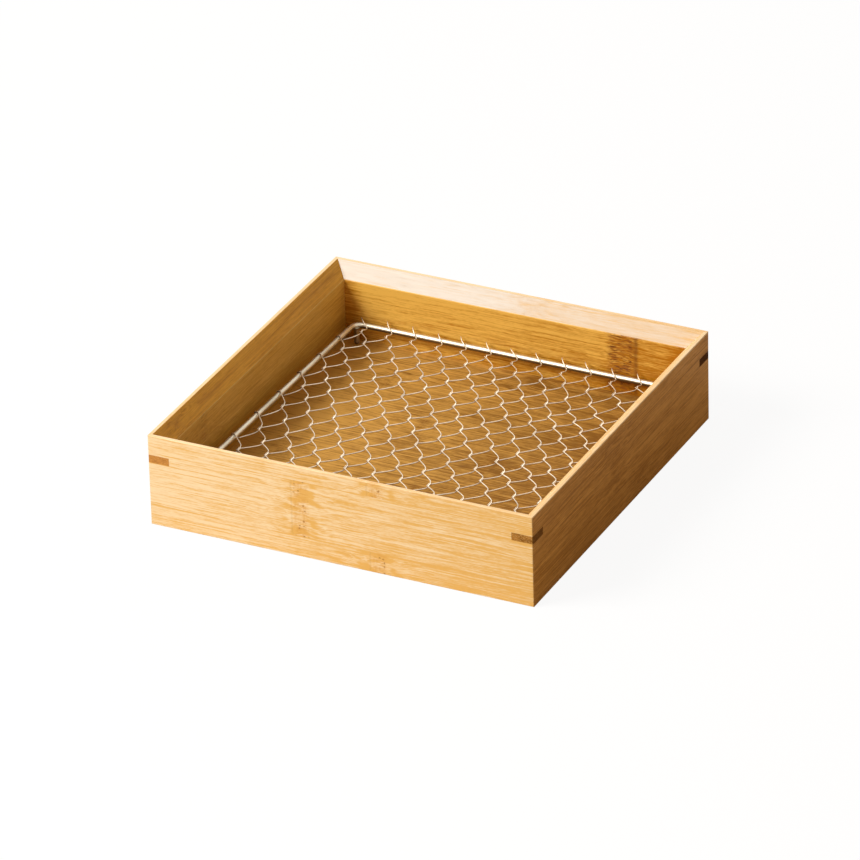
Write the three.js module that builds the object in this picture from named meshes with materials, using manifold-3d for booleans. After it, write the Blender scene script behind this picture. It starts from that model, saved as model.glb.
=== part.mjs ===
import * as THREE from 'three';
import { mergeVertices } from 'three/addons/utils/BufferGeometryUtils.js';
import Module from 'manifold-3d';

// A square bamboo tray with a wire draining rack that lifts out.
// Millimetres. +X is to the right, +Y to the back, +Z up. The origin is on the table, under the tray's middle.

// The tray: four mitred boards round a bottom panel
const traySide = 210;
const trayHeight = 50;
const wallThickness = 9;
const rimWidth = 2;
const bevelDrop = 7.6;
const jointGap = 0.3;

// The bottom panel, in a groove round the inside of the walls
const panelThickness = 4;
const panelRise = 5.3;
const panelTongue = 4;

// The keys, each in a kerf sawn across a corner
const keyThickness = 4.2;
const keyLeg = 11.5;
const keyTopBelowRim = 10.8;

// The rack: a rod ring, a little narrower at the back, on four short feet
const rodDiameter = 3;
const rodBendRadius = 5;
const rackFrontClearance = 2.7;
const rackBackClearance = 5.7;
const rackEndClearance = 1.7;
const footHeight = 9.2;
const weldGap = 0.3;

// The net: hexagons between twists that run front to back
const wireDiameter = 0.8;
const twistLength = 4.3;
const twistWidth = 1.5;
const netRows = 17;
const netHalfColumns = 25;
const firstRowInset = 6.6;
const netGap = 0.3;

// How finely the round things are cut
const rodSides = 10;
const bendSteps = 4;
const footSides = 12;
const footTipSteps = 3;
const wireSides = 4;
const hookSteps = 4;

// One overrun serves all cuts
const overrun = 1;

// Sizes that follow from the ones above
const halfSide = traySide / 2;
const halfInside = halfSide - wallThickness;
const panelTop = panelRise + panelThickness;
const rodRadius = rodDiameter / 2;
const wireRadius = wireDiameter / 2;
const rodHeight = panelTop + footHeight + rodRadius;
const frontHalfWidth = halfInside - rackFrontClearance - rodRadius;
const backHalfWidth = halfInside - rackBackClearance - rodRadius;
const rackHalfDepth = halfInside - rackEndClearance - rodRadius;

const bambooFace = new THREE.MeshStandardMaterial({ color: 0xdfab66, roughness: 0.5, metalness: 0 });
const bambooPanel = new THREE.MeshStandardMaterial({ color: 0xb8823f, roughness: 0.55, metalness: 0 });
const darkBamboo = new THREE.MeshStandardMaterial({ color: 0x8a5a2b, roughness: 0.6, metalness: 0 });
const rodSteel = new THREE.MeshStandardMaterial({ color: 0xd2d2cf, roughness: 0.2, metalness: 1 });
const wireSteel = new THREE.MeshStandardMaterial({ color: 0xdedad2, roughness: 0.3, metalness: 1 });

const wasm = await Module();
wasm.setup();

// Booleans: a closed geometry becomes a solid and back
function toSolid(geometry) {
  const bare = geometry.clone();
  for (const name of Object.keys(bare.attributes)) if (name !== 'position') bare.deleteAttribute(name);
  const merged = mergeVertices(bare);
  return new wasm.Manifold(new wasm.Mesh({
    numProp: 3,
    vertProperties: new Float32Array(merged.attributes.position.array),
    triVerts: new Uint32Array(merged.index.array),
  }));
}

function toGeometry(solid) {
  const mesh = solid.getMesh();
  const geometry = new THREE.BufferGeometry();
  geometry.setAttribute('position', new THREE.BufferAttribute(mesh.vertProperties, 3));
  geometry.setIndex(new THREE.BufferAttribute(mesh.triVerts, 1));
  geometry.computeVertexNormals();
  return geometry;
}

function cutFrom(geometry, cutters) {
  let solid = toSolid(geometry);
  for (const cutter of cutters) solid = solid.subtract(toSolid(cutter));
  return toGeometry(solid);
}

function outline(points) {
  return new THREE.Shape(points.map(([x, y]) => new THREE.Vector2(x, y)));
}

function slab(shape, thickness, low) {
  const geometry = new THREE.ExtrudeGeometry(shape, { depth: thickness, bevelEnabled: false });
  return geometry.translate(0, 0, low);
}

// A curve through listed points that meets each of them at an even step
class ListedPath extends THREE.Curve {
  constructor(points) {
    super();
    this.points = points;
  }

  getPoint(t) {
    const place = Math.min(Math.max(t, 0), 1) * (this.points.length - 1);
    const before = Math.min(Math.floor(place), this.points.length - 2);
    return this.points[before].clone().lerp(this.points[before + 1], place - before);
  }

  getPointAt(u) {
    return this.getPoint(u);
  }

  getSpacedPoints(divisions) {
    return this.getPoints(divisions);
  }

  getTangentAt(u) {
    const step = 1 / (this.points.length - 1);
    const ahead = this.getPoint(u + step);
    return ahead.sub(this.getPoint(u - step)).normalize();
  }
}

function tube(points, radius, sides) {
  const section = new THREE.Shape();
  for (let i = 0; i < sides; i += 1) {
    const angle = (2 * Math.PI * i) / sides;
    const method = i === 0 ? 'moveTo' : 'lineTo';
    section[method](radius * Math.cos(angle), radius * Math.sin(angle));
  }
  const options = { steps: points.length - 1, extrudePath: new ListedPath(points), bevelEnabled: false };
  return new THREE.ExtrudeGeometry(section, options);
}

// A wall's section, across the board (0 on its outer face) and up: groove below, bevel above
function wallSection() {
  const grooveDepth = panelTongue + jointGap;
  return outline([
    [0, 0],
    [wallThickness, 0],
    [wallThickness, panelRise - jointGap],
    [wallThickness - grooveDepth, panelRise - jointGap],
    [wallThickness - grooveDepth, panelTop + jointGap],
    [wallThickness, panelTop + jointGap],
    [wallThickness, trayHeight - bevelDrop],
    [rimWidth, trayHeight],
    [0, trayHeight],
  ]);
}

// A board along X whose outer face looks to the front. Each end slides in by as much as the
// point lies behind the outer face, which makes the mitre.
function mitredBoard() {
  const board = new THREE.ExtrudeGeometry(wallSection(), { depth: traySide, bevelEnabled: false });
  const corners = board.attributes.position;
  const mitreGap = jointGap / Math.SQRT2;
  for (let i = 0; i < corners.count; i += 1) {
    const [across, up, along] = [corners.getX(i), corners.getY(i), corners.getZ(i)];
    const end = along > halfSide ? 1 : -1;
    corners.setXYZ(i, end * (halfSide - across - mitreGap), across - halfSide, up);
  }
  return board;
}

// The kerf's or the key's plan at the corner between the front and the right: a right triangle
function cornerTriangle(leg, proud) {
  return outline([
    [halfSide - leg - proud, -halfSide - proud],
    [halfSide + proud, -halfSide - proud],
    [halfSide + proud, -halfSide + leg + proud],
  ]);
}

const keyTop = trayHeight - keyTopBelowRim;
const keyBottom = keyTop - keyThickness;

function kerf(turn) {
  const leg = keyLeg + jointGap * Math.SQRT2;
  const cutter = slab(cornerTriangle(leg, overrun), keyThickness + 2 * jointGap, keyBottom - jointGap);
  return cutter.rotateZ(turn);
}

const quarter = Math.PI / 2;

function makeWall(name, turn) {
  const geometry = cutFrom(mitredBoard(), [kerf(0), kerf(-quarter)]);
  const wall = new THREE.Mesh(geometry, bambooFace);
  wall.name = name;
  wall.rotation.z = turn;
  return wall;
}

function makeKey(name, turn) {
  const key = new THREE.Mesh(slab(cornerTriangle(keyLeg, 0), keyThickness, keyBottom), darkBamboo);
  key.name = name;
  key.rotation.z = turn;
  return key;
}

function makePanel() {
  const half = halfInside + panelTongue;
  const shape = outline([[-half, -half], [half, -half], [half, half], [-half, half]]);
  const panel = new THREE.Mesh(slab(shape, panelThickness, panelRise), bambooPanel);
  panel.name = 'bottom_panel';
  return panel;
}

// The rack's plan is a trapezium: its rods' middles lie this far from the centre line
function halfWidthAt(y) {
  const backShare = (y + rackHalfDepth) / (2 * rackHalfDepth);
  return frontHalfWidth + (backHalfWidth - frontHalfWidth) * backShare;
}

function rackCorners() {
  return [
    new THREE.Vector2(frontHalfWidth, -rackHalfDepth),
    new THREE.Vector2(backHalfWidth, rackHalfDepth),
    new THREE.Vector2(-backHalfWidth, rackHalfDepth),
    new THREE.Vector2(-frontHalfWidth, -rackHalfDepth),
  ];
}

// One bend: where the rod's middle line goes round a corner, from the side before to the side after
function bend(before, corner, after) {
  const back = before.clone().sub(corner).normalize();
  const ahead = after.clone().sub(corner).normalize();
  const halfAngle = Math.acos(back.dot(ahead)) / 2;
  const toCentre = back.clone().add(ahead).normalize();
  const centre = corner.clone().addScaledVector(toCentre, rodBendRadius / Math.sin(halfAngle));
  const start = corner.clone().addScaledVector(back, rodBendRadius / Math.tan(halfAngle)).sub(centre);
  const turn = Math.PI - 2 * halfAngle;
  const points = [];
  for (let i = 0; i <= bendSteps; i += 1) {
    const spoke = start.clone().rotateAround(new THREE.Vector2(), (turn * i) / bendSteps);
    points.push(centre.clone().add(spoke));
  }
  return points;
}

function bends() {
  const corners = rackCorners();
  return corners.map((corner, i) => bend(corners.at(i - 1), corner, corners[(i + 1) % corners.length]));
}

// The rod starts and ends at the weld, in the middle of the front side
function makeFrame() {
  const weldEnd = new THREE.Vector2(weldGap / 2, -rackHalfDepth);
  const weldStart = new THREE.Vector2(-weldGap / 2, -rackHalfDepth);
  const route = [weldEnd, ...bends().flat(), weldStart];
  const points = route.map((point) => new THREE.Vector3(point.x, point.y, rodHeight));
  const frame = new THREE.Mesh(tube(points, rodRadius, rodSides), rodSteel);
  frame.name = 'rack_frame';
  return frame;
}

// A foot under the middle of a bend, with a rounded tip that stands on the panel
function makeFoot(name, place) {
  const low = panelTop + weldGap;
  const high = rodHeight - rodRadius - weldGap;
  const profile = [new THREE.Vector2(0, low)];
  for (let i = 1; i <= footTipSteps; i += 1) {
    const angle = (quarter * i) / footTipSteps;
    profile.push(new THREE.Vector2(rodRadius * Math.sin(angle), low + rodRadius * (1 - Math.cos(angle))));
  }
  profile.push(new THREE.Vector2(rodRadius, high), new THREE.Vector2(0, high));
  const geometry = new THREE.LatheGeometry(profile, footSides).rotateX(quarter);
  const foot = new THREE.Mesh(geometry, rodSteel);
  foot.name = name;
  foot.position.set(place.x, place.y, 0);
  return foot;
}

// The net's lattice: half columns go across the rack, rows from the back rod to the front one
const rowPitch = (2 * (rackHalfDepth - firstRowInset)) / (netRows - 1);

function rowY(row) {
  return rackHalfDepth - firstRowInset - row * rowPitch;
}

function netX(halfColumn, y) {
  return halfWidthAt(y) * ((2 * halfColumn) / netHalfColumns - 1);
}

function strideAt(y) {
  return netX(1, y) - netX(0, y);
}

// How steeply the wires run between one row's twists and the next row's
function slopeAt(y) {
  return (rowPitch - twistLength) / strideAt(y);
}

// One gap between the wires, a hexagon, or a longer one where it opens on the front or back rod
function netGapShape(row, halfColumn) {
  const y = rowY(row);
  const stride = strideAt(y);
  const slope = slopeAt(y);
  const side = 1 - twistWidth / 2 / stride;
  const tip = twistLength / 2 + stride * slope - wireRadius * Math.hypot(1, slope);
  const shoulder = tip - side * stride * slope;
  const past = rackHalfDepth + overrun;
  const top = row === 0 ? [[side, past - y], [-side, past - y]] : [[side, shoulder], [0, tip], [-side, shoulder]];
  const foot = row === netRows - 1
    ? [[-side, -past - y], [side, -past - y]]
    : [[-side, -shoulder], [0, -tip], [side, -shoulder]];
  return outline([...top, ...foot].map(([dx, dy]) => [netX(halfColumn + dx, y + dy), y + dy]));
}

// Twists stand on odd half columns in even rows, and on even ones in odd rows. Gaps lie between them.
function isTwist(row, halfColumn) {
  return (row + halfColumn) % 2 === 1;
}

function eachPlace(visit) {
  for (let row = 0; row < netRows; row += 1) {
    for (let halfColumn = 0; halfColumn <= netHalfColumns; halfColumn += 1) visit(row, halfColumn);
  }
}

// A wire end: up the inner side of the front or back rod, over it and down behind
const hookRadius = rodRadius + netGap + wireRadius;

function hook(x, side) {
  const points = [new THREE.Vector3(x, side * (rackHalfDepth - hookRadius - twistLength / 2), rodHeight)];
  for (let i = 0; i <= hookSteps; i += 1) {
    const angle = Math.PI - (Math.PI * i) / hookSteps;
    const y = side * (rackHalfDepth + hookRadius * Math.cos(angle));
    points.push(new THREE.Vector3(x, y, rodHeight + hookRadius * Math.sin(angle)));
  }
  return tube(points, wireRadius, wireSides);
}

// An edge wire: one turn round a side rod, from the end of one diagonal to the end of the next
function wrap(row, side) {
  const y = rowY(row);
  const reach = twistLength / 2 + hookRadius * slopeAt(y);
  const points = [];
  for (let i = 0; i <= 2 * hookSteps; i += 1) {
    const share = i / hookSteps - 1;
    const angle = Math.PI * share;
    const along = y + reach * share;
    const x = side * (halfWidthAt(along) + hookRadius * Math.cos(angle));
    points.push(new THREE.Vector3(x, along, rodHeight + hookRadius * Math.sin(angle)));
  }
  return tube(points, wireRadius, wireSides);
}

function makeNet() {
  const edge = rackHalfDepth - rodRadius - netGap;
  const inset = rodRadius + netGap;
  const sheet = outline([
    [-halfWidthAt(-edge) + inset, -edge],
    [halfWidthAt(-edge) - inset, -edge],
    [halfWidthAt(edge) - inset, edge],
    [-halfWidthAt(edge) + inset, edge],
  ]);
  const gaps = [];
  const ends = [];
  eachPlace((row, halfColumn) => {
    if (!isTwist(row, halfColumn)) {
      gaps.push(netGapShape(row, halfColumn));
      return;
    }
    const endRow = row === 0 || row === netRows - 1;
    const endSide = row === 0 ? 1 : -1;
    const onSideRod = halfColumn === 0 || halfColumn === netHalfColumns;
    if (onSideRod && !endRow) ends.push(wrap(row, halfColumn === 0 ? -1 : 1));
    if (endRow && !onSideRod) ends.push(hook(netX(halfColumn, endSide * rackHalfDepth), endSide));
  });
  const cutter = slab(gaps, wireDiameter + 2 * overrun, rodHeight - wireRadius - overrun);
  let net = toSolid(slab(sheet, wireDiameter, rodHeight - wireRadius)).subtract(toSolid(cutter));
  for (const end of ends) net = net.add(toSolid(end));
  const mesh = new THREE.Mesh(toGeometry(net), wireSteel);
  mesh.name = 'rack_net';
  return mesh;
}

const tray = new THREE.Group();
const sides = ['front', 'right', 'back', 'left'];
sides.forEach((side, i) => {
  const next = sides[(i + 1) % sides.length];
  const corner = i % 2 === 0 ? `${side}_${next}` : `${next}_${side}`;
  tray.add(makeWall(`${side}_wall`, quarter * i), makeKey(`key_${corner}`, quarter * i));
});
tray.add(makePanel());

const rack = new THREE.Group();
rack.add(makeFrame(), makeNet());
const cornerNames = ['front_right', 'back_right', 'back_left', 'front_left'];
bends().forEach((points, i) => {
  rack.add(makeFoot(`rack_foot_${cornerNames[i]}`, points[bendSteps / 2]));
});

const model = new THREE.Group();
model.add(tray, rack);

export default model;
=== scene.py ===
import math
import random

import bmesh
import bpy
from mathutils import Matrix, Vector


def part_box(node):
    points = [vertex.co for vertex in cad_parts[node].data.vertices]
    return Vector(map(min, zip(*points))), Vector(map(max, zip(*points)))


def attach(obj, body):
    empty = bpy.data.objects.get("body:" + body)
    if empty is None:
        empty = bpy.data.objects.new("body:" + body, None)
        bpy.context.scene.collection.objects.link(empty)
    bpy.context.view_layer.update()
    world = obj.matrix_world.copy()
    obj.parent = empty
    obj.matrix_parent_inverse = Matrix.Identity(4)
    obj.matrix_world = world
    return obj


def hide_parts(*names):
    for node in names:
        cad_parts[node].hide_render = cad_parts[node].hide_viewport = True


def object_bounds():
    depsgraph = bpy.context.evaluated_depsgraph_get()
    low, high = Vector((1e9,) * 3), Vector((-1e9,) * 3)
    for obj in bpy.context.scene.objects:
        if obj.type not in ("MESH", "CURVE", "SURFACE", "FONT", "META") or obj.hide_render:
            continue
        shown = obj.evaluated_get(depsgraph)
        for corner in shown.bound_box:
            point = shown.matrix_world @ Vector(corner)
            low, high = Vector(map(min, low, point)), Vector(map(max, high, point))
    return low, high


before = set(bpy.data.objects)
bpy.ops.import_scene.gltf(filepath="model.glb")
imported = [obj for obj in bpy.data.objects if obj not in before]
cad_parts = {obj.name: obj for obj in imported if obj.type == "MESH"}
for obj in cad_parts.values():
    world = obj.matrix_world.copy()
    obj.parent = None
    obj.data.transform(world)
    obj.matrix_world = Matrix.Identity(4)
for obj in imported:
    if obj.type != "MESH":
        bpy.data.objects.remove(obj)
cadLow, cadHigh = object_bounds()
print("frame:", len(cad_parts), "nodes")

mm = 0.001
quarter = math.pi / 2

# Places that the solids give
wallLow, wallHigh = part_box("front_wall")
halfSide = cadHigh.x
height = cadHigh.z
thickness = wallHigh.y - wallLow.y
halfInside = halfSide - thickness
panelLow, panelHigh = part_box("bottom_panel")
keyLow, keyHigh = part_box("key_front_right")
rodLow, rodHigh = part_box("rack_frame")
rodLevel = (rodLow.z + rodHigh.z) / 2

board = {  # a wall's section, which its tones follow too
    "rim": 0.002,
    "bevelDrop": 0.0076,
    "ease": 0.0003,  # the sanded edges
    "easeSteps": 3,
    "cornerEase": 0.0007,
    "cornerSteps": 6,
    "grooveGap": 0.00008,
}
samePlace = 1e-7  # points closer than this are joined
onPlane = 1e-8  # and points closer to a cut than this lie on it
sharpFrom = math.radians(32)

camera = {
    "azimuth": 26.43,  # degrees, turned from the front towards the right
    "elevation": 28.83,
    "roll": -1.5,
    "distance": 3.789,
    "lens": 315.73,
    "shift": (-0.0038, 0.0469),
}


def makeCamera():
    azimuth, elevation, roll = (math.radians(camera[name]) for name in ("azimuth", "elevation", "roll"))
    back = Vector((math.sin(azimuth) * math.cos(elevation), -math.cos(azimuth) * math.cos(elevation),
                   math.sin(elevation)))
    right = Vector((math.cos(azimuth), math.sin(azimuth), 0))
    turned = Matrix.Rotation(roll, 3, back) @ right
    data = bpy.data.cameras.new("camera")
    data.sensor_width = 36
    data.lens = camera["lens"]
    data.shift_x, data.shift_y = camera["shift"]
    data.clip_end = 20
    seen = bpy.data.objects.new("camera", data)
    bpy.context.scene.collection.objects.link(seen)
    axes = Matrix((turned, back.cross(turned), back)).transposed().to_4x4()
    seen.matrix_world = Matrix.Translation(back * camera["distance"]) @ axes
    bpy.context.scene.camera = seen


class Flow:  # a socket of a material: sums on it add Math nodes, and node() adds any other node
    def __init__(self, tree, socket=None):
        self.tree = tree
        self.socket = socket

    def node(self, kind, settings, inputs, output=0):
        made = self.tree.nodes.new(kind)
        for name, value in settings.items():
            if name == "stops":
                setStops(made.color_ramp, value)
            elif name == "steps":
                made.color_ramp.interpolation = "CONSTANT"
            else:
                setattr(made, name, value)
        for name, value in inputs.items():
            if isinstance(value, Flow):
                self.tree.links.new(value.socket, made.inputs[name])
            else:
                made.inputs[name].default_value = value
        return Flow(self.tree, made.outputs[output] if made.outputs else None)

    def math(self, operation, *values):
        return self.node("ShaderNodeMath", {"operation": operation}, dict(enumerate(values)))

    def __add__(self, other):
        return self.math("ADD", self, other)

    def __sub__(self, other):
        return self.math("SUBTRACT", self, other)

    def __rsub__(self, other):
        return self.math("SUBTRACT", other, self)

    def __mul__(self, other):
        return self.math("MULTIPLY", self, other)

    __radd__ = __add__
    __rmul__ = __mul__


def setStops(ramp, stops):
    while len(ramp.elements) < len(stops):
        ramp.elements.new(1)
    for element, (place, colour) in zip(ramp.elements, stops):
        element.position = place
        element.color = (*colour, 1)


def newMaterial(name):
    material = bpy.data.materials.new(name)
    material.use_nodes = True
    material.node_tree.nodes.clear()
    return material, Flow(material.node_tree)


def rise(flow, low, high):  # 0 up to low, 1 from high, smooth between; falls where low is over high
    return flow.node("ShaderNodeMapRange", {"interpolation_type": "SMOOTHSTEP"},
                     {"Value": flow, "From Min": low, "From Max": high})


def stretched(flow, place, scale):
    return flow.node("ShaderNodeVectorMath", {"operation": "MULTIPLY"}, {0: place, 1: scale})


def noise(flow, place, scale=1.0, detail=2.0, rough=0.5):
    return flow.node("ShaderNodeTexNoise", {}, {"Vector": place, "Scale": scale, "Detail": detail,
                                               "Roughness": rough})


def mixed(flow, factor, first, second):
    settings = {"data_type": "RGBA", "clamp_factor": True}
    return flow.node("ShaderNodeMix", settings, {0: factor, 6: first, 7: second}, 2)


def joined(flow, along, across, up):
    return flow.node("ShaderNodeCombineXYZ", {}, {0: along, 1: across, 2: up})


def outputsOf(flow):
    return [Flow(flow.tree, flow.socket.node.outputs[i]) for i in range(3)]


def parted(flow):
    return outputsOf(flow.node("ShaderNodeSeparateXYZ", {}, {0: flow}))


def partedColour(flow):
    return outputsOf(flow.node("ShaderNodeSeparateColor", {}, {0: flow}))


def colour(*levels):
    return (*levels, 1)


def finishSurface(flow, inputs, heightMap, depth):
    normal = flow.node("ShaderNodeBump", {}, {"Height": heightMap, "Strength": 1.0, "Distance": depth})
    surface = flow.node("ShaderNodeBsdfPrincipled", {}, {**inputs, "Normal": normal})
    flow.node("ShaderNodeOutputMaterial", {}, {"Surface": surface})


bamboo = {
    # Sizes are in millimetres, and scales in repeats a millimetre along, across and up.
    # How the fibres show: length, thickness, and how strongly they darken
    "marks": {"fleck": (2.4, 0.6, 0.7), "dash": (7.0, 0.7, 0.85), "line": (55.0, 0.75, 1.6),
              "band": (150.0, 3.0, 0.6), "patch": (20.0, 5.5, 0.6), "fibre": (28.0, 0.45, 1.2)},
    "ground": 0.42,  # how dark the plain wood is: 0 is a face's palest tone, and 1 its deepest
    "seedShift": 900,  # how far a strip's seed moves its pattern along
    "edgeBlend": (-0.3, 0.1),  # where a face's tone sets in, from its edge
    "waveScale": (1 / 60, 0.05, 0.05),  # the fibres wander
    "waveRise": 1.4,
    "rippleScale": (1 / 17, 0.16, 0.16),  # and ripple round a node of the cane
    "rippleRise": 4.0,
    "rippleReach": (40.0, 6.0),
    "rippleFar": 0.15,  # the share of the ripple far from a node
    "pastNode": (-2.0, 6.0),  # where the tone past a node sets in
    "cornerReach": 14.0,
    "dashEdge": (0.12, 0.26),
    "heights": {"fibre": 0.7, "dash": 0.4, "speck": 0.6, "line": 0.3},
    "dulling": {"fibre": 0.3, "dash": 0.15},
    "depth": 0.00004,
}
veins = {  # thin darker lines along the fibres
    "gap": 2.9,
    "size": (45.0, 5.0),
    "stray": 1.0,
    "nodeStray": 4.0,  # they stray more near a node
    "edge": (0.2, 0.03),
    "fadeSize": (26.0, 4.0),
    "fade": (-0.09, 0.12),
}
seams = {  # the lines between strips, broken here and there
    "edge": (0.5, 0.1),
    "sway": 0.3,
    "breakScale": (1 / 30, 0.2, 0.2),
    "break": (0.38, 0.5),
    "calm": (0.9, 0.2),  # a face is flat beside one, where its pattern changes
}
cane = {  # its nodes: a darker band of short dashes and dots, with a line at one edge
    "soft": 3.0,
    "jagScale": (0.3, 0.9, 0.9),
    "jag": 1.6,
    "lineCore": 0.1,
    "lineTone": 0.75,
    "bandTone": 0.15,
    "peckSize": (4.5, 0.7),  # short dashes
    "peckEdge": (-0.02, 0.1),
    "peckTone": 0.75,
    "tickScale": (1 / 0.8, 0.1, 1 / 3),  # short upright marks
    "tickEdge": (0.5, 0.64),
    "tickTone": 0.4,
    "flushSize": (9.0, 4.0),  # deeper patches round a node
    "flushEdge": (-0.08, 0.20),
    "flushReach": (17.0, 5.0),
    "speckGap": 2.1,
    "speckStretch": 0.8,
    "speckEdge": (0.28, 0.13),
    "speckPick": 0.66,  # the share of the places that stay bare
    "dashSize": (6.0, 0.5),  # the dark dashes that an inner face shows
    "dashEdge": (0.05, 0.16),
    "rimFade": 0.8,
}


def stripStops(strips, reach):  # a strip's tone, node and seed, as the red, green and blue of a ramp
    return [(share, (tone, (node + reach) / (2 * reach), seed)) for share, tone, node, seed in strips]


def stripAt(look, stackedOn, inner):  # the tone, node and seed of each strip
    level = stackedOn.node("ShaderNodeMapRange", {}, {"Value": stackedOn, "From Min": look["from"],
                                                      "From Max": look["to"]})
    ramps = [level.node("ShaderNodeValToRGB", {"stops": stripStops(look[side], look["reach"]), "steps": True},
                        {"Fac": level}) for side in ("strips", "innerStrips")]
    return partedColour(mixed(level, inner, *ramps))


def faceMasks(look, across, up):  # 1 on the inner face, on the bevel and on the rim
    below, above = bamboo["edgeBlend"]
    inner = across.math("GREATER_THAN", across, look["innerFrom"])
    bevel = rise(up, look["bevelFrom"] + below, look["bevelFrom"] + above) * (1 - inner)
    bevel = bevel * rise(across, look["rimTo"] + below, look["rimTo"] + above)
    return inner, bevel, rise(up, look["rimFrom"] + below, look["rimFrom"] + above)


def paintedLightFaceColour(flow, look, which, inner, bevel, rim):  # a wall's outer face, rim, bevel and inner face differ; their colours hold painted light and shade, each set to how that face is lit
    shade = mixed(flow, rim, colour(*look["outer"][which]), colour(*look["rim"][which]))
    shade = mixed(flow, bevel, shade, colour(*look["bevel"][which]))
    return mixed(flow, inner, shade, colour(*look["inner"][which]))


def veinLines(stackedOn, bend, halo, fibreNoise):
    stray = fibreNoise(*veins["size"]) * (veins["stray"] + veins["nodeStray"] * halo)
    phase = (stackedOn + bend) * (1 / veins["gap"]) + stray
    faded = rise(fibreNoise(*veins["fadeSize"]), *veins["fade"])
    return rise(phase.math("PINGPONG", phase, 0.5), *veins["edge"]) * faded


def seamLines(look, grain, stackedOn, bend, inner):  # how dark the seams are, and the bump left beside them
    broken = rise(noise(grain, stretched(grain, grain, seams["breakScale"])), *seams["break"])
    dark, relief = 0.0, 1.0
    for side, shown in (("strips", 1 - inner), ("innerStrips", inner)):
        for strip in look[side][1:]:
            edgeLevel = look["from"] + (look["to"] - look["from"]) * strip[0]
            off = stackedOn + bend * seams["sway"] - edgeLevel
            dark = dark + rise(off.math("ABSOLUTE", off), *seams["edge"]) * shown * broken
            beside = stackedOn - edgeLevel
            relief = relief - rise(beside.math("ABSOLUTE", beside), *seams["calm"]) * shown
    return dark, relief


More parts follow.
